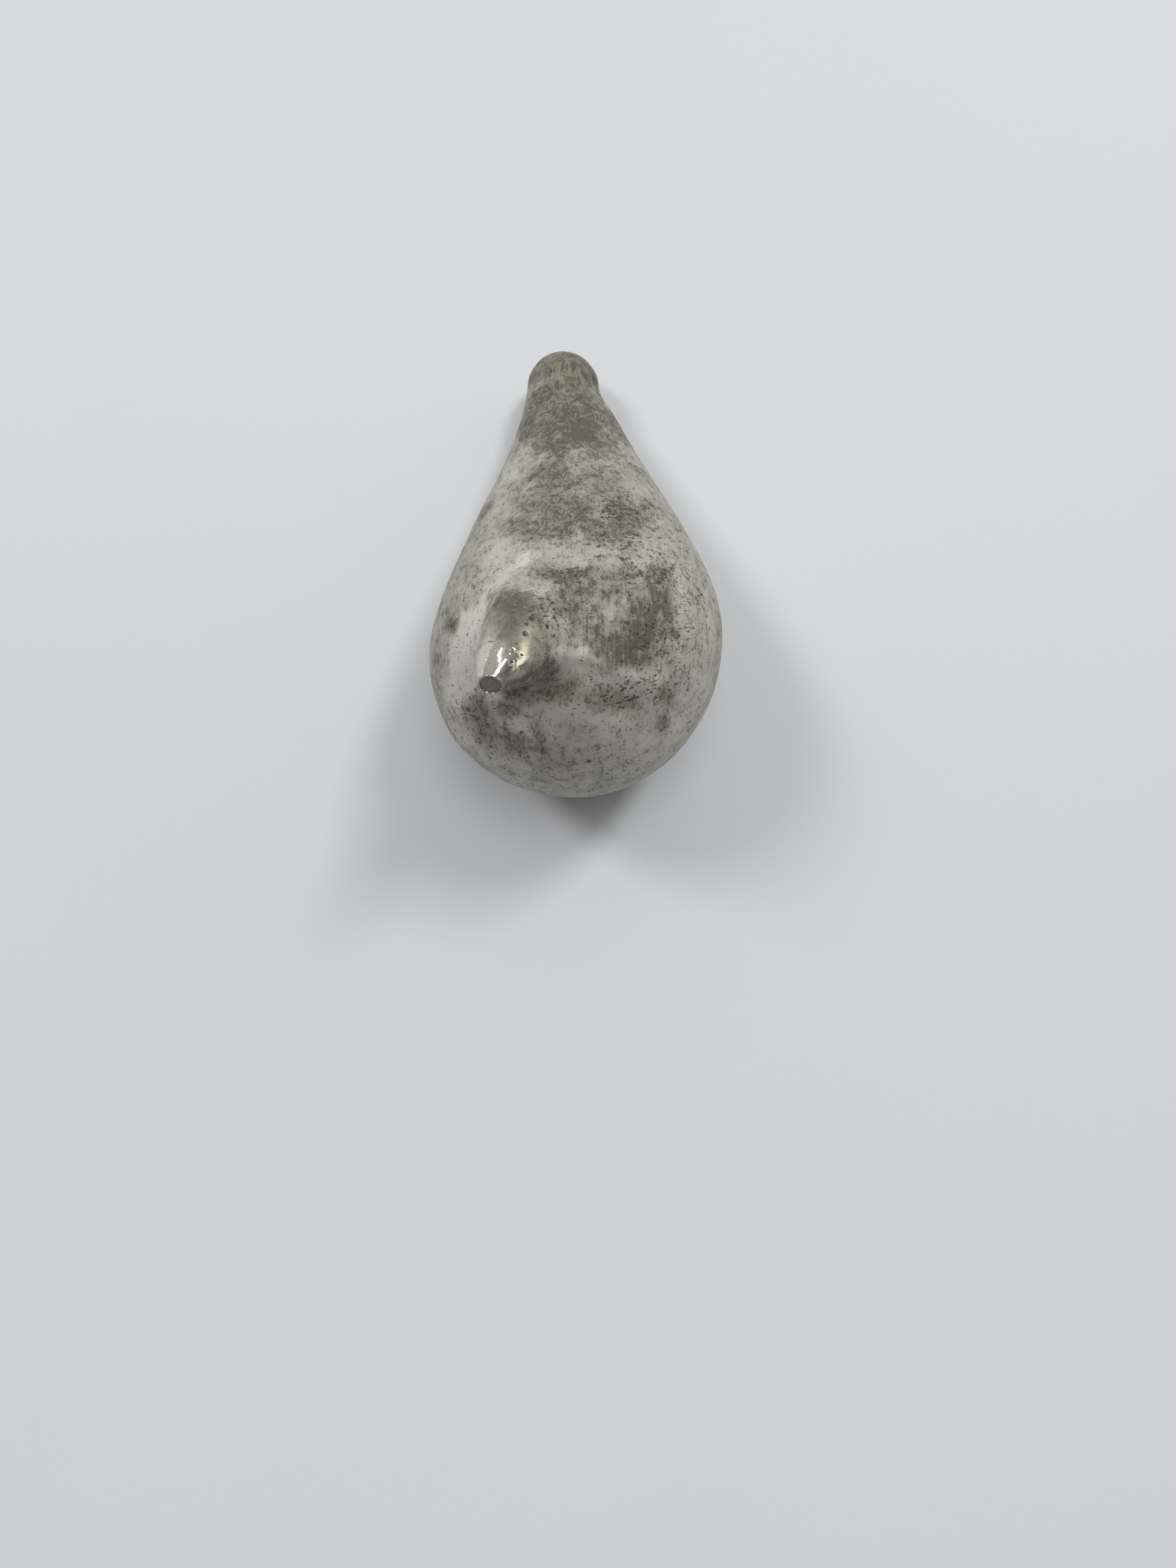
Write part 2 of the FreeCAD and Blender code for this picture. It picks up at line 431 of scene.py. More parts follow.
def stroke(points, path, width):
    """1 along a path in plan, falling to 0 over its width, at each point."""
    spots = points[:, :2] / MM
    nearest = np.full(len(points), 1e9)
    for near, far in zip(path, path[1:]):
        near, span = np.array(near), np.subtract(far, near)
        share = np.clip((spots - near) @ span / (span @ span), 0, 1)
        gap = np.linalg.norm(spots - near - np.outer(share, span), axis=1)
        nearest = np.minimum(nearest, gap)
    return np.exp(-(nearest / width) ** 2)


def add_ridge(points, normals, height):
    """Soft ridge that runs on from the beak's right flank."""
    below_beak_top = 1 - smooth_step(points[:, 2], *RIDGE_FADE)
    root = ROOT_HEIGHT * stroke(points, RIDGE_ROOT, ROOT_HALF_WIDTH) * below_beak_top
    lift = np.maximum(stroke(points, RIDGE, RIDGE_HALF_WIDTH) * below_beak_top, root)
    up = smooth_step(normals[:, 2], *UPWARD)
    return points + normals * (lift * up * height)[:, None]


def surface_spot(points, normals, place):
    """The highest point near a place in plan, on the upward side."""
    gaps = np.linalg.norm(points[:, :2] - np.array(place) * MM, axis=1)
    gaps = gaps - 0.02 * points[:, 2]
    gaps[normals[:, 2] < 0.0] = 1.0
    return int(gaps.argmin())


def dent(surface, place, length, width, depth, heading=0.0):
    """Press an oval dent with a faint raised rim into the upper surface."""
    points, normals, tree, dirt = surface
    spot = surface_spot(points, normals, place)
    middle, normal = Vector(points[spot]), Vector(normals[spot])
    along = Vector((cos(radians(heading)), sin(radians(heading)), 0.0))
    along = (along - normal * along.dot(normal)).normalized()
    across = normal.cross(along)
    reach = max(length, width) * RIM_REACH / 2 * MM
    for found, index, _ in tree.find_range(middle, reach):
        offset = (found - middle) / MM
        gap = 2 * ((offset.dot(along) / length) ** 2 + (offset.dot(across) / width) ** 2) ** 0.5
        if gap < 1:
            points[index] -= normals[index] * depth * MM * (1 - gap * gap) ** 1.5
            dirt[index] = max(dirt[index], (1 - gap) * min(1.0, depth / DIRTY_DEPTH))
        elif gap < RIM_REACH:
            rim = RIM_RISE * sin((gap - 1) / (RIM_REACH - 1) * pi)
            points[index] += normals[index] * depth * MM * rim


def scatter_pits(surface, seed):
    """Small casting pits, thick on the right shoulder and thin elsewhere."""
    draw = random.Random(seed)
    for _ in range(PIT_COUNT):
        middle, spread, size = draw.choice(PIT_FIELDS)
        place = (draw.gauss(middle[0], spread[0]), draw.gauss(middle[1], spread[1]))
        length = size * draw.uniform(1.0, 3.0)
        width = size * draw.uniform(0.5, 1.0)
        heading = -15 - 4.0 * max(0.0, place[0] - 4) + draw.gauss(0, 14)
        if np.hypot(*place) < 17 or place[1] > 0:
            dent(surface, place, length, width, width * draw.uniform(0.08, 0.3), heading)


def dress_surface(piece, settings):
    """Waves, ridge, pits and knocks, as real shape, clear of the lip and the flat."""
    mesh = piece.data
    points = points_of(mesh)
    normals = normals_of(mesh)
    start = points.copy()
    points = add_waves(points, normals, settings.wave_depth * MM, settings.wave_length * MM)
    points = add_ridge(points, normals, settings.ridge_height * MM)
    tree = kdtree.KDTree(len(points))
    for index, point in enumerate(points):
        tree.insert(point, index)
    tree.balance()
    surface = (points, normals, tree, np.zeros(len(points)))
    for place, radius, depth in BEAK_PITS:
        dent(surface, place, 2 * radius, 2 * radius, depth)
    for place, length, width, depth, heading in KNOCKS:
        dent(surface, place, length, width, depth, heading)
    scatter_pits(surface, settings.seed)
    # nothing moves at the lip or at the flat
    centre, _, radius, _ = beak_end()
    free = smooth_step(np.linalg.norm(start - centre, axis=1), radius + 0.1 * MM, 2.2 * radius)
    free = free * smooth_step(start[:, 2], 0.05 * MM, 1.0 * MM)
    points = start + (points - start) * free[:, None]
    points[:, 2] = np.maximum(points[:, 2], 0.0)
    set_points(mesh, points)
    paint(piece, "dirt", surface[3])


# ------------------------------------------------------------------ where the films lie

# Patches on the upper side, in the four tables below: place, half width and half length,
# heading and strength.
TARNISH_PATCHES = (
    ((8.3, 1.2), (2.4, 4.0), -22.0, 1.2),
    ((5.6, -2.7), (3.8, 2.0), 8.0, 1.0),
    ((4.2, 4.6), (3.0, 2.2), 0.0, 0.35),
    ((5.8, 14.2), (2.6, 2.8), 0.0, 0.5),
    ((-3.7, -3.3), (1.5, 1.7), 0.0, 0.2),
    ((-1.4, 39.0), (4.6, 3.4), 0.0, 0.35),
    ((3.0, -1.6), (1.8, 1.2), 0.0, 0.6),
    ((9.7, 6.1), (1.3, 1.8), -15.0, 0.55),
    ((-4.0, 35.0), (2.0, 1.2), 0.0, 0.8),
    ((-2.3, 31.4), (1.7, 1.6), 0.0, 0.9),
    ((1.2, 34.0), (1.6, 1.2), 0.0, 0.8),
    ((0.6, 29.0), (2.4, 2.8), 0.0, 1.3),
    ((-3.8, 28.6), (2.0, 1.6), 0.0, 0.5),
    ((3.6, 31.6), (0.9, 2.6), 30.0, 0.6),
    ((-3.0, 20.6), (2.8, 2.2), 0.0, 0.5),
    ((-0.5, 15.4), (2.8, 2.0), 0.0, 0.65),
    ((-2.6, 12.6), (3.4, 1.8), 0.0, 0.6),
    ((-6.7, 13.2), (2.2, 1.5), 0.0, 0.4),
    ((1.4, 12.6), (2.2, 1.5), 0.0, 0.45),
    ((-1.1, 5.7), (1.8, 1.0), 0.0, 0.95),
    ((-3.2, 6.0), (1.4, 0.8), 0.0, 0.4),
    ((-10.5, -11.6), (2.8, 1.7), -35.0, 0.32),
    ((-11.9, -9.6), (1.8, 1.6), -30.0, 0.4),
    ((-7.0, -13.4), (2.4, 1.3), -35.0, 0.5),
    ((-4.4, -12.6), (1.0, 2.6), 12.0, 0.4),
    ((-8.2, -9.6), (1.6, 1.0), 0.0, 0.35),
    ((2.6, -8.4), (2.2, 1.3), -10.0, 0.35),
    ((6.2, -9.0), (2.2, 1.1), -10.0, 0.45),
    # this patch darkens the hollow under the beak, partly film and partly painted shade
    ((-1.8, -7.6), (3.2, 1.4), 0.0, 0.2),
    ((-15.0, 0.9), (0.9, 0.9), 0.0, 0.6),
    ((-11.8, 16.8), (0.7, 1.6), -25.0, 0.4),
    ((-7.4, 2.3), (1.5, 1.3), 0.0, 0.8),
    ((-5.6, 0.4), (1.8, 1.3), 0.0, 0.6),
    ((10.5, -11.0), (0.8, 1.2), 0.0, 0.4),
    ((10.8, -8.0), (0.9, 1.2), 0.0, 0.35),
    ((0.4, 3.0), (3.0, 2.2), 0.0, 0.4),
    ((-0.6, 30.4), (5.4, 5.4), 0.0, 0.9),
    ((-1.5, 16.0), (5.0, 5.0), 0.0, 0.3),
    ((2.0, 21.0), (5.0, 4.0), 0.0, 0.25),
)
# Band of painted shade in the valley between the beak and the belly, where the beak's underside
# shades it: path and half width.
VALLEY_SHADE_BAND = (((-7.6, -7.6), (-6.6, -7.1), (-4.8, -6.0), (-2.8, -5.2)), 0.8)
OLIVE_PATCHES = (
    ((-1.6, 39.6), (5.0, 4.4), 0.0, 1.0),
    ((6.3, 14.6), (2.2, 2.2), 0.0, 0.9),
    ((4.6, 12.6), (2.8, 1.6), 0.0, 0.7),
    ((5.8, 9.4), (2.0, 1.2), 0.0, 0.5),
    ((-2.6, -15.3), (3.0, 2.0), 0.0, 0.6),
    # this patch darkens the hollow under the beak, partly film and partly painted shade
    ((-2.4, -7.4), (3.6, 1.5), 0.0, 0.7),
    ((-7.2, 0.6), (2.8, 3.0), 0.0, 1.0),
    ((-4.2, -1.4), (2.2, 3.2), 25.0, 0.8),
    ((11.0, 1.8), (1.0, 2.2), 0.0, 0.5),
    ((0.0, -12.0), (2.4, 1.6), 0.0, 0.4),
    ((2.0, 0.5), (3.0, 2.5), 0.0, 0.4),
)
# Rubbed metal, partly painted light: the patches on the left flank and along the lower edge
# are painted reflection of the bright table, and those left of the beak and above its root are
# painted highlight.
RUB_AND_HIGHLIGHT_PATCHES = (
    ((-13.2, -3.4), (1.8, 4.8), 0.0, 1.5),
    ((-14.2, -7.0), (2.4, 2.2), 0.0, 0.8),
    ((15.6, -3.0), (1.6, 6.0), 0.0, 0.2),
    ((0.0, -11.5), (14.0, 7.5), 0.0, 0.4),
    ((8.0, -13.4), (4.6, 2.0), 0.0, 0.4),
    ((0.0, -17.6), (12.0, 2.2), 0.0, 0.15),
    ((-9.8, 21.0), (1.6, 5.0), -20.0, 0.4),
    ((5.4, 22.0), (2.0, 3.0), 20.0, 0.2),
    ((-9.0, 9.6), (2.2, 2.4), -30.0, 0.5),
    ((0.4, 8.2), (2.8, 0.9), 0.0, 0.15),
    ((-9.3, -4.6), (0.9, 2.4), 0.0, 1.0),
    ((0.2, -3.4), (2.6, 0.8), 0.0, 0.6),
    ((3.4, -4.3), (2.6, 0.8), -24.0, 0.5),
    ((7.2, -6.1), (2.6, 0.8), -22.0, 0.4),
)
FLECK_PATCHES = (
    ((6.0, 13.0), (3.6, 3.8), 0.0, 1.0),
    ((9.0, 7.5), (3.4, 4.0), 0.0, 0.7),
    ((10.0, -1.0), (3.0, 5.0), 0.0, 0.8),
    ((6.0, -7.8), (4.4, 1.8), 0.0, 0.8),
    ((-2.6, 1.0), (1.8, 2.0), 0.0, 0.9),
    ((-1.8, 6.0), (2.6, 1.2), 0.0, 0.9),
    ((-12.0, -9.0), (2.6, 2.6), 0.0, 0.7),
    ((13.5, 3.0), (2.0, 6.0), 0.0, 0.6),
)
# Bands of painted highlight, the light halo in the hollow round the beak's root: path, half
# width, and whether the band stays off the beak.
HALO_HIGHLIGHT_BANDS = (
    (((-11.6, -1.4), (-11.3, 2.6), (-9.9, 4.8), (-8.2, 6.5), (-6.1, 8.1)), 1.2, True),
    (((-11.5, -2.9), (-11.3, -6.5), (-10.1, -8.0), (-8.5, -8.0), (-6.7, -6.8),
      (-5.0, -5.9)), 0.35, False),
)
# Yellow streak down the beak: path and half width.
BRASS_BAND = (((-4.2, -0.7), (-4.8, -2.0), (-5.4, -3.8), (-6.4, -5.9)), 0.6)

RAGGED = ((0.6, 2.6), (0.35, 0.9))      # strength and width in millimetres of ragged edges
PATCH_EDGE = (0.2, 1.75)                # where a patch starts to fade and where it ends
NEAR_BEAK = (2.8 * MM, 5.0 * MM)        # from the beak's spine
POLISH_FADE = (6 * MM, 12 * MM)         # from the beak's end
POLISH_UP = (0.33, 0.55)                # rise of a normal over which the polish begins
CLEAN_TIP = (4.4 * MM, 5.6 * MM)        # from the beak's end
CLEAN_SIDE = (-7.9 * MM, -7.2 * MM)     # across the beak
# faces that look down are painted darker, a painted shade laid into the tarnish and olive
UNDERSIDE = (-0.5, 0.1)                 # rise of a normal on the underside
# Strengths go over 1 and a painted value can't, so these shares of them are painted.
TARNISH_SHARE = 0.6
RUB_AND_HIGHLIGHT_SHARE = 0.667
TARNISH_FULL = 1.667                    # brings painted tarnish back to its full strength


def patches(points, normals, places, ragged):
    """Strength of a set of ragged-edged patches on the upper side, at each point."""
    total = np.zeros(len(points))
    for middle, size, heading, strength in places:
        offset = points[:, :2] / MM - np.array(middle)
        turn = radians(heading)
        across = offset[:, 0] * cos(turn) + offset[:, 1] * sin(turn)
        along = offset[:, 1] * cos(turn) - offset[:, 0] * sin(turn)
        gap = np.hypot(across / size[0], along / size[1]) + ragged
        total = np.maximum(total, strength * (1 - smooth_step(gap, *PATCH_EDGE)))
    return total * smooth_step(normals[:, 2], *UPWARD)


def paint(piece, name, values):
    """Keep one number for each point as an attribute that the material reads."""
    attribute = piece.data.attributes.new(name, "FLOAT", "POINT")
    attribute.data.foreach_set("value", np.clip(values, 0, 1).astype(np.float32))


def paint_films(piece):
    """Where the casting is tarnished, olive, flecked and rubbed bright; also painted shade and
    highlight.
    """
    points = points_of(piece.data)
    normals = normals_of(piece.data)
    ragged = np.empty(len(points))
    for index, point in enumerate(points):
        spot = Vector(point) / MM
        ragged[index] = sum(share * noise.noise(spot / width) for share, width in RAGGED)
    centre, _, _, _ = beak_end()
    from_end = np.linalg.norm(points - centre, axis=1)
    near_beak = 1 - smooth_step(beak_distance(points), *NEAR_BEAK)
    polish = near_beak * (1 - 0.6 * smooth_step(from_end, *POLISH_FADE))
    polish = polish * smooth_step(normals[:, 2], *POLISH_UP)
    clean_tip = 1 - smooth_step(from_end + ragged * 0.8 * MM, *CLEAN_TIP)
    across = points[:, 0] + ragged * 0.4 * MM
    clean_tip = clean_tip * (1 - smooth_step(across, *CLEAN_SIDE))
    # faces that look down: painted shade, added to the tarnish and olive below
    under = 1 - smooth_step(normals[:, 2], *UNDERSIDE)
    rub_and_highlight = patches(points, normals, RUB_AND_HIGHLIGHT_PATCHES, ragged)
    # the halo bands are painted highlight, laid in with the rubbed metal
    for path, width, off_beak in HALO_HIGHLIGHT_BANDS:
        band = stroke(points, path, width * (1 + 0.6 * ragged)) * (0.85 + 0.6 * ragged)
        band = band * (1 - near_beak * off_beak)
        rub_and_highlight = np.maximum(rub_and_highlight, band * smooth_step(normals[:, 2], 0.0, 0.3))
    rub_and_highlight = np.maximum(rub_and_highlight, clean_tip * near_beak)
    tarnish = patches(points, normals, TARNISH_PATCHES, ragged) * (1 - 0.9 * clean_tip)
    # painted shade: a dark band in the hollow under the beak, laid into the tarnish
    valley_shade = stroke(points, *VALLEY_SHADE_BAND)
    tarnish = np.maximum(tarnish, valley_shade)
    # the tarnish attribute also carries painted shade: the valley band and the faces that look
    # down
    paint(piece, "tarnish", TARNISH_SHARE * tarnish + 0.2 * under)
    # the olive attribute also darkens the faces that look down, a painted shade
    paint(piece, "olive", patches(points, normals, OLIVE_PATCHES, ragged) + 0.3 * under)
    paint(piece, "fleck", patches(points, normals, FLECK_PATCHES, ragged) + 0.25)
    # rubbed metal and painted highlight and reflection share this attribute; both lighten the
    # metal
    paint(piece, "rub_and_highlight", RUB_AND_HIGHLIGHT_SHARE * rub_and_highlight * (0.85 + 0.3 * ragged))
    paint(piece, "polish", polish * (1 - 0.7 * valley_shade))
    paint(piece, "brass", stroke(points, *BRASS_BAND) * near_beak)


# ------------------------------------------------------------------ materials

# Noise patterns: scale, detail, roughness, stretch of each axis, and turn in degrees about
# the vertical. The scale is cells to the metre, and None is no stretch.
PATTERNS = {
    "broad": (240.0, 5.0, 0.6, None, 0),
    "cloud": (900.0, 4.0, 0.65, None, 0),
    "grain": (4600.0, 3.0, 0.65, (1.0, 1.9, 1.0), 18),
    "hatch": (3000.0, 2.0, 0.5, (1.0, 0.12, 1.0), -80),
    "spots": (1900.0, 2.0, 0.5, (0.8, 2.0, 1.0), 20),
    "brush": (1500.0, 3.0, 0.6, (1.0, 0.14, 1.0), -70),
    "pin speck": (5200.0, 4.0, 0.6, None, 0),
    "pin file marks": (6000.0, 3.0, 0.5, (1.0, 0.1, 1.0), 20),
    "table": (30.0, 3.0, 0.55, None, 0),
}

class Nodes:
    """Short ways to add and join shader nodes in one material."""

    def __init__(self, name):
        self.material = bpy.data.materials.new(name)
        self.material.use_nodes = True
        self.tree = self.material.node_tree
        self.shader = self.tree.nodes["Principled BSDF"]

    def add(self, kind, inputs=(), **values):
        """A node with its settings and inputs, which are numbers, colours or sockets."""
        node = self.tree.nodes.new(kind)
        for name, value in values.items():
            setattr(node, name, value)
        for key, value in dict(inputs).items():
            if isinstance(value, bpy.types.NodeSocket):
                self.tree.links.new(value, node.inputs[key])
            else:
                node.inputs[key].default_value = value
        return node

    def join(self, socket, name):
        self.tree.links.new(socket, self.shader.inputs[name])

    def pattern(self, name):
        """A noise pattern on the object's coordinates, in metres."""
        scale, detail, roughness, stretch, turn = PATTERNS[name]
        place = self.add("ShaderNodeTexCoord").outputs["Object"]
        if stretch:
            inputs = {"Vector": place, "Scale": stretch, "Rotation": (0.0, 0.0, radians(turn))}
            place = self.add("ShaderNodeMapping", inputs).outputs["Vector"]
        inputs = {"Vector": place, "Scale": scale, "Detail": detail, "Roughness": roughness}
        return self.add("ShaderNodeTexNoise", inputs).outputs["Fac"]

    def painted(self, name):
        return self.add("ShaderNodeAttribute", attribute_name=name).outputs["Fac"]

    def math(self, operation, first, second, third=None, clamp=False):
        inputs = {0: first, 1: second}
        if third is not None:
            inputs[2] = third
        node = self.add("ShaderNodeMath", inputs, operation=operation, use_clamp=clamp)
        return node.outputs[0]

    def rise(self, value, low, high, start=0.0, end=1.0):
        """A value spread from low..high to start..end, and held at the ends."""
        inputs = {"Value": value, "From Min": low, "From Max": high, "To Min": start,
                  "To Max": end}
        return self.add("ShaderNodeMapRange", inputs).outputs["Result"]

    def mix(self, share, first, second):
        """A colour between two."""
        node = self.add("ShaderNodeMix", data_type="RGBA")
        for socket, value in ((0, share), (6, first), (7, second)):
            if isinstance(value, bpy.types.NodeSocket):
                self.tree.links.new(value, node.inputs[socket])
            else:
                node.inputs[socket].default_value = value
        return node.outputs[2]

    def bump(self, height, distance, strength=1.0, under=None):
        inputs = {"Height": height, "Distance": distance, "Strength": strength}
        if under is not None:
            inputs["Normal"] = under
        return self.add("ShaderNodeBump", inputs).outputs["Normal"]


def opaque(colour):
    return (*colour, 1.0)


def metal_material(settings):
    """Cast white metal with films of tarnish, flecks, rubbing marks, painted shade and
    highlight, and a polished beak.
    """
    n = Nodes("weathered white metal")
    rub_and_highlight = n.painted("rub_and_highlight")
    polish = n.painted("polish")
    cloud = n.pattern("cloud")
    # film: painted strength, painted shade included, broken up by mottling and rubbed off in
    # places, and thinned under painted highlight
    mottle = n.rise(n.pattern("broad"), 0.3, 0.7, 0.22, 0.48)
    film = n.math("MULTIPLY_ADD", n.painted("tarnish"), TARNISH_FULL, mottle)
    film = n.math("SUBTRACT", film, n.math("MULTIPLY", rub_and_highlight, 0.8))
    # speckle: fine dark grains and hatching, denser where the film is thicker
    speck = n.math("ADD", n.math("MULTIPLY", n.pattern("grain"), 0.4),
                   n.math("MULTIPLY", cloud, 0.35))
    speck = n.math("ADD", speck, n.math("MULTIPLY", n.pattern("hatch"), 0.25))
    speck = n.math("SUBTRACT", speck, n.rise(film, 0.0, 1.6, 0.54, 0.37))
    speck = n.math("MULTIPLY", n.rise(speck, 0.0, 0.085), n.rise(polish, 0.0, 1.0, 1.0, 0.5))
    # flecks: larger dark spots drawn out along the rubbing, thicker where painted
    cover = n.rise(n.painted("fleck"), 0.0, 1.0, 0.71, 0.59)
    fleck = n.rise(n.math("SUBTRACT", n.pattern("spots"), cover), 0.0, 0.03)
    fleck = n.math("MAXIMUM", fleck, n.rise(n.painted("dirt"), 0.05, 0.5))
    # colours, from the metal up: film, olive, speckle, dirt and flecks, yellow rub, polish
    tint = n.math("ADD", n.painted("olive"), n.rise(cloud, 0.3, 0.7, -0.3, 0.1), clamp=True)
    worn = n.mix(n.rise(film, 0.0, 0.6), opaque(settings.metal), opaque(settings.worn))
    colour = n.mix(n.math("MULTIPLY", tint, 0.85), worn, opaque(settings.olive))
    colour = n.mix(n.math("MULTIPLY", speck, 0.8), colour, opaque(settings.tarnish))
    colour = n.mix(n.math("MULTIPLY", fleck, 0.85), colour, opaque(settings.pit))
    bright = n.rise(n.math("MULTIPLY", n.painted("brass"), n.rise(cloud, 0.42, 0.6)), 0.1, 0.8)
    colour = n.mix(bright, colour, opaque(settings.brass))
    shine = n.math("MULTIPLY", n.math("MULTIPLY", polish, rub_and_highlight), 1.2, clamp=True)
    colour = n.mix(shine, colour, opaque(settings.shine))
    n.join(colour, "Base Color")
    n.join(n.rise(polish, 0.0, 0.8, 0.4, 0.95), "Metallic")
    rough = n.rise(cloud, 0.3, 0.7, 0.6, 0.72)
    rough = n.math("ADD", rough, n.math("MULTIPLY", speck, 0.1))
    rough = n.math("SUBTRACT", rough, n.math("MULTIPLY", polish, 0.62))
    rough = n.math("MAXIMUM", rough, n.rise(bright, 0.0, 1.0, 0.1, 0.24))
    n.join(rough, "Roughness")
    # brush marks, calmer on the polished beak, with the flecks pressed into them
    calm = n.rise(polish, 0.0, 0.8, 1.0, 0.1)
    marks = n.bump(n.math("MULTIPLY", n.pattern("brush"), calm), 0.00004, 0.35)
    n.join(n.bump(n.math("MULTIPLY", fleck, -1.0), 0.00005, 0.6, marks), "Normal")
    return n.material


def pin_material(settings):
    """Dull dark metal with a dressed, faintly mottled face."""
    n = Nodes("dull dark pin")
    speck = n.pattern("pin speck")
    lighter = tuple(1.9 * part for part in settings.colour)
    n.join(n.mix(n.rise(speck, 0.42, 0.68), opaque(settings.colour), opaque(lighter)),
           "Base Color")
    n.shader.inputs["Metallic"].default_value = 0.55
    n.join(n.rise(speck, 0.3, 0.7, 0.5, 0.68), "Roughness")
    n.join(n.bump(n.pattern("pin file marks"), 0.00002, 0.5), "Normal")
    return n.material


def table_material(settings):
    """Pale smooth table top."""
    n = Nodes("pale table")
    shade = tuple(0.985 * part for part in settings.table)
    n.join(n.mix(n.pattern("table"), opaque(settings.table), opaque(shade)), "Base Color")
    n.shader.inputs["Roughness"].default_value = 0.6
    n.shader.inputs["Specular IOR Level"].default_value = 0.25
    return n.material


# ------------------------------------------------------------------ operators

def hand_in(piece, node, material):
    """Give a finished piece its material and let it stand for its CAD node."""
    piece.data.materials.clear()
    piece.data.materials.append(material)
    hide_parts(node)
    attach(piece, "root")


# Where the casting's mesh is refined: the upper side, and twice round the beak's spine.
REFINE_UP = 0.3
REFINE_REACH = (6.5 * MM, 3.2 * MM)


class CASTING_OT_body(bpy.types.Operator):
    """Make the weathered casting"""

    bl_idname = "casting.body"
    bl_label = "Casting"

    def execute(self, context):
        settings = context.scene.casting_body
        piece = copy_of_casting()
        even_mesh(piece, settings.cell * MM)
        refine(piece, lambda face: face.normal.z > REFINE_UP)
        for reach in REFINE_REACH:
            refine(piece, lambda face: beak_distance(np.array([face.center]))[0] < reach)
        lay_on_cad(piece)
        crisp_end(piece, settings.lip_round * MM)
        dress_surface(piece, settings)
        pick_only(piece)
        bpy.ops.object.shade_smooth()
        paint_films(piece)
        hand_in(piece, BODY_NODE, metal_material(settings))
        return {"FINISHED"}


# Steps inwards over the pin's dished face: width in millimetres, share of the dish.
DISH_STEPS = ((0.2, 0.35), (0.25, 0.4), (0.25, 0.25))


class CASTING_OT_pin(bpy.types.Operator):
    """Make the pin in the beak's end"""

    bl_idname = "casting.pin"
    bl_label = "Pin"

    def execute(self, context):
        settings = context.scene.casting_pin
        face, axis, radius, length = seat_of_pin()
        for other in bpy.context.selected_objects:
            other.select_set(False)
        turn = Vector((0, 0, 1)).rotation_difference(Vector(axis)).to_euler()
        bpy.ops.mesh.primitive_cylinder_add(vertices=64, radius=radius, depth=length,
                                            location=face - axis * length / 2, rotation=turn)
        piece = context.active_object
        piece.name = piece.data.name = "dark_pin"
        bpy.ops.object.transform_apply(location=True, rotation=True, scale=True)
        # round the rim of the outer face, then step inwards to a shallow dish
        for inset, drop in ((settings.rim, 0.0), *DISH_STEPS):
            edit_faces(piece, lambda flat: (flat.center - Vector(face)).length < 0.1 * MM)
            bpy.ops.mesh.inset(thickness=inset * MM, depth=-settings.dish * drop * MM)
            leave_edit()
        for point in piece.data.vertices:
            offset = np.array(point.co) - face
            out = np.linalg.norm(offset - axis * (offset @ axis))
            if offset @ axis > -HAIR and out > radius - HAIR:
                point.co = np.array(point.co) - axis * settings.rim * MM
        apply_modifier(piece, "BEVEL", width=0.02 * MM, segments=2, limit_method="ANGLE")
        pick_only(piece)
        bpy.ops.object.shade_smooth_by_angle(angle=radians(35))
        hand_in(piece, PIN_NODE, pin_material(settings))
        return {"FINISHED"}


# Soft lamps: name, bearing from the right and height in degrees, half the angles they fill
# along and across as seen from the casting, turn of the long side and power in watts.
LAMPS = (
    ("lamp_right", 51.0, 50.0, 5.5, 9.0, 0.0, 12.0),
    ("lamp_left", 145.0, 46.5, 6.0, 9.5, 0.0, 10.8),
    ("lamp_top", 75.0, 76.5, 12.0, 12.0, 0.0, 6.8),
    ("window_far", 86.0, 37.0, 16.0, 1.4, -38.0, 1.4),
    ("window_right", 20.0, 16.0, 28.0, 7.0, 14.0, 4.2),
)


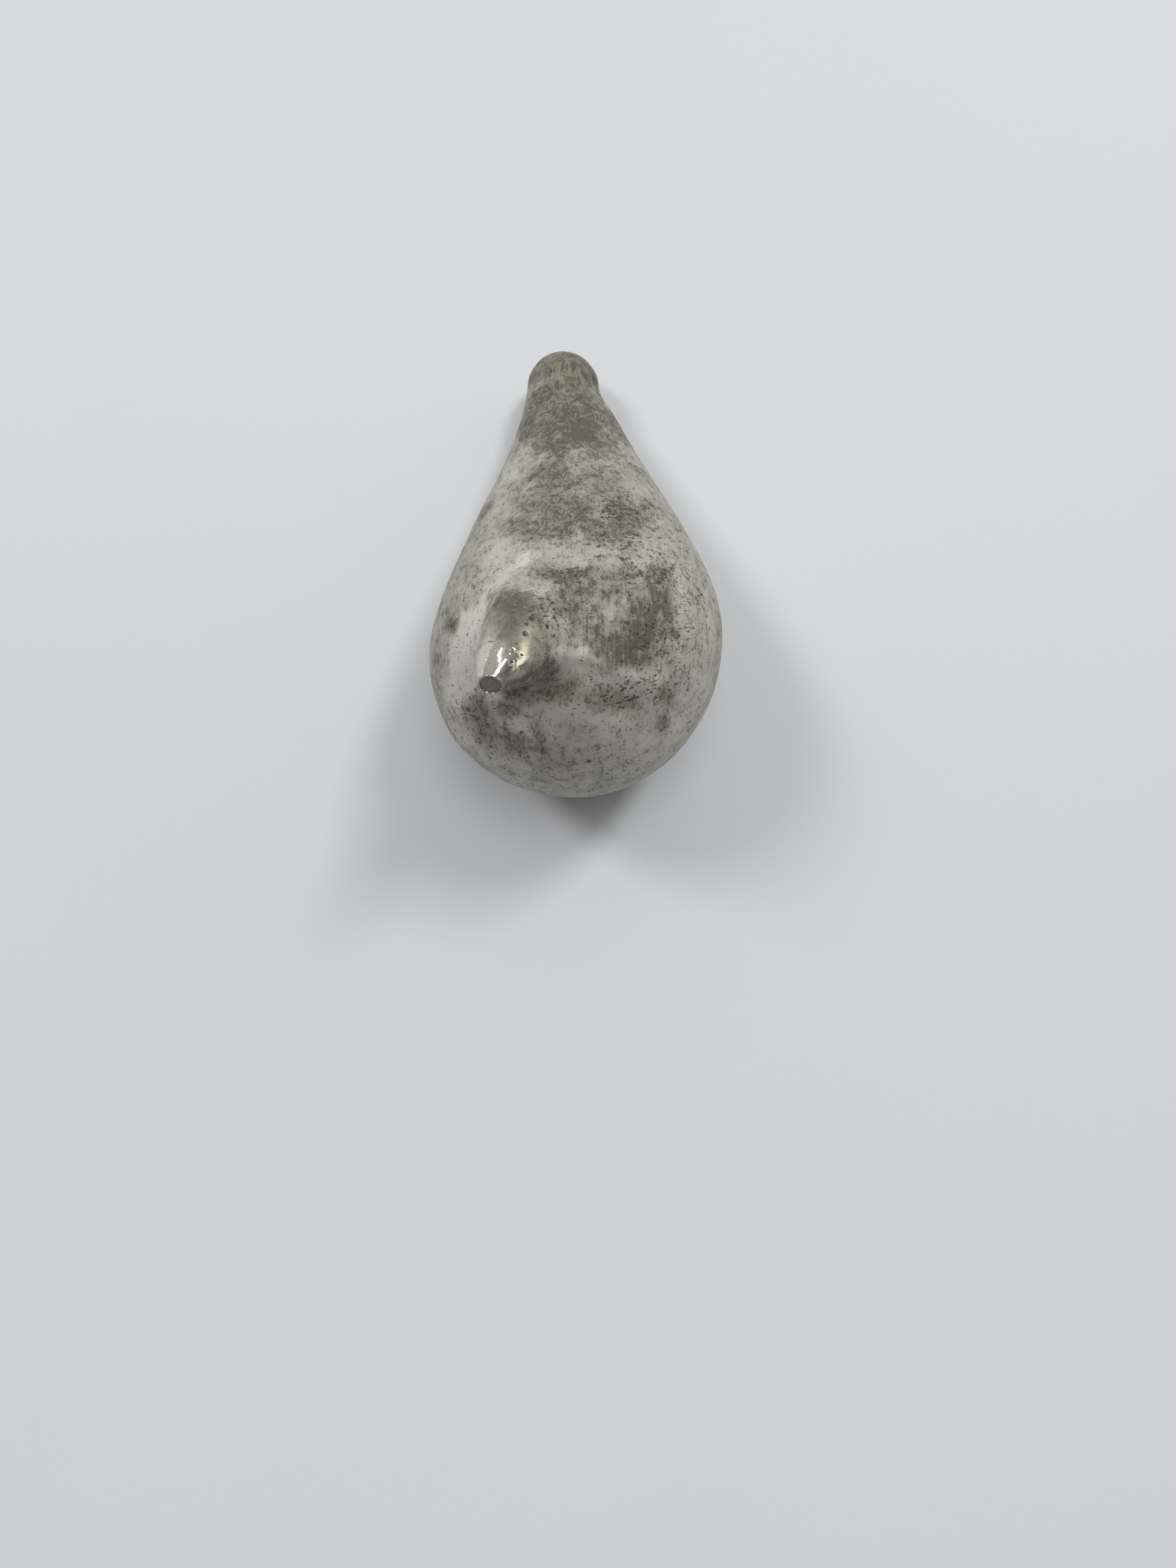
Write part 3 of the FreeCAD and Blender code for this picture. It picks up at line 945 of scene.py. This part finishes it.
class CASTING_OT_stage(bpy.types.Operator):
    """Make the table, the light and the camera"""

    bl_idname = "casting.stage"
    bl_label = "Stage"

    def execute(self, context):
        settings = context.scene.casting_stage
        self.add_table(settings)
        self.add_room(context, settings)
        for lamp in LAMPS:
            self.add_lamp(settings, *lamp)
        self.add_camera(context, settings)
        context.scene.view_settings.view_transform = "Standard"
        return {"FINISHED"}

    def add_table(self, settings):
        bpy.ops.mesh.primitive_plane_add(size=4.0, location=(0, 0, 0))
        table = bpy.context.active_object
        table.name = table.data.name = "table"
        table.data.materials.append(table_material(settings))

    def add_room(self, context, settings):
        """Even light from all round, and more the nearer to the tail's side."""
        world = bpy.data.worlds.new("room")
        context.scene.world = world
        world.use_nodes = True
        tree = world.node_tree
        way = tree.nodes.new("ShaderNodeTexCoord")
        split = tree.nodes.new("ShaderNodeSeparateXYZ")
        spread = tree.nodes.new("ShaderNodeMapRange")
        spread.inputs["To Min"].default_value = settings.room
        spread.inputs["To Max"].default_value = settings.room + settings.window
        tree.links.new(way.outputs["Generated"], split.inputs[0])
        tree.links.new(split.outputs["Y"], spread.inputs["Value"])
        tree.links.new(spread.outputs["Result"], tree.nodes["Background"].inputs["Strength"])
        tree.nodes["Background"].inputs["Color"].default_value = (1.0, 1.0, 1.0, 1.0)

    def add_lamp(self, settings, name, bearing, height, half_length, half_width, turn, power):
        """A soft lamp that points at the casting."""
        way = Vector((cos(radians(height)) * cos(radians(bearing)),
                      cos(radians(height)) * sin(radians(bearing)), sin(radians(height))))
        data = bpy.data.lights.new(name, "AREA")
        data.shape = "ELLIPSE"
        data.size = 2 * settings.lamp_distance * tan(radians(half_length))
        data.size_y = 2 * settings.lamp_distance * tan(radians(half_width))
        data.energy = power * settings.lamp_power
        lamp = bpy.data.objects.new(name, data)
        bpy.context.scene.collection.objects.link(lamp)
        lamp.location = way * settings.lamp_distance
        spin = Quaternion((0.0, 0.0, 1.0), radians(turn))
        lamp.rotation_euler = (way.to_track_quat("Z", "Y") @ spin).to_euler()

    def add_camera(self, context, settings):
        """Straight above the table, with the tail at the top of the view."""
        data = bpy.data.cameras.new("camera")
        data.lens = settings.lens
        data.clip_start = 0.005
        camera = bpy.data.objects.new("camera", data)
        context.scene.collection.objects.link(camera)
        camera.location = (settings.camera_side, -settings.camera_ahead,
                           settings.camera_height)
        context.scene.camera = camera


class CASTING_PT_panel(bpy.types.Panel):
    """Buttons and sizes for the casting"""

    bl_label = "Beaked casting"
    bl_idname = "CASTING_PT_panel"
    bl_space_type = "VIEW_3D"
    bl_region_type = "UI"
    bl_category = "Casting"

    def draw(self, context):
        for operator, group in (("casting.body", "casting_body"),
                                ("casting.pin", "casting_pin"),
                                ("casting.stage", "casting_stage")):
            box = self.layout.box()
            box.operator(operator)
            settings = getattr(context.scene, group)
            for name in settings.__annotations__:
                box.prop(settings, name)


CLASSES = (CastingSettings, PinSettings, StageSettings, CASTING_OT_body, CASTING_OT_pin,
           CASTING_OT_stage, CASTING_PT_panel)


def register():
    for cls in CLASSES:
        bpy.utils.register_class(cls)
    scene = bpy.types.Scene
    scene.casting_body = bpy.props.PointerProperty(type=CastingSettings)
    scene.casting_pin = bpy.props.PointerProperty(type=PinSettings)
    scene.casting_stage = bpy.props.PointerProperty(type=StageSettings)


def unregister():
    for name in ("casting_stage", "casting_pin", "casting_body"):
        delattr(bpy.types.Scene, name)
    for cls in reversed(CLASSES):
        bpy.utils.unregister_class(cls)


def main():
    register()
    bpy.ops.casting.body()
    bpy.ops.casting.pin()
    bpy.ops.casting.stage()


if __name__ == "__main__":
    main()
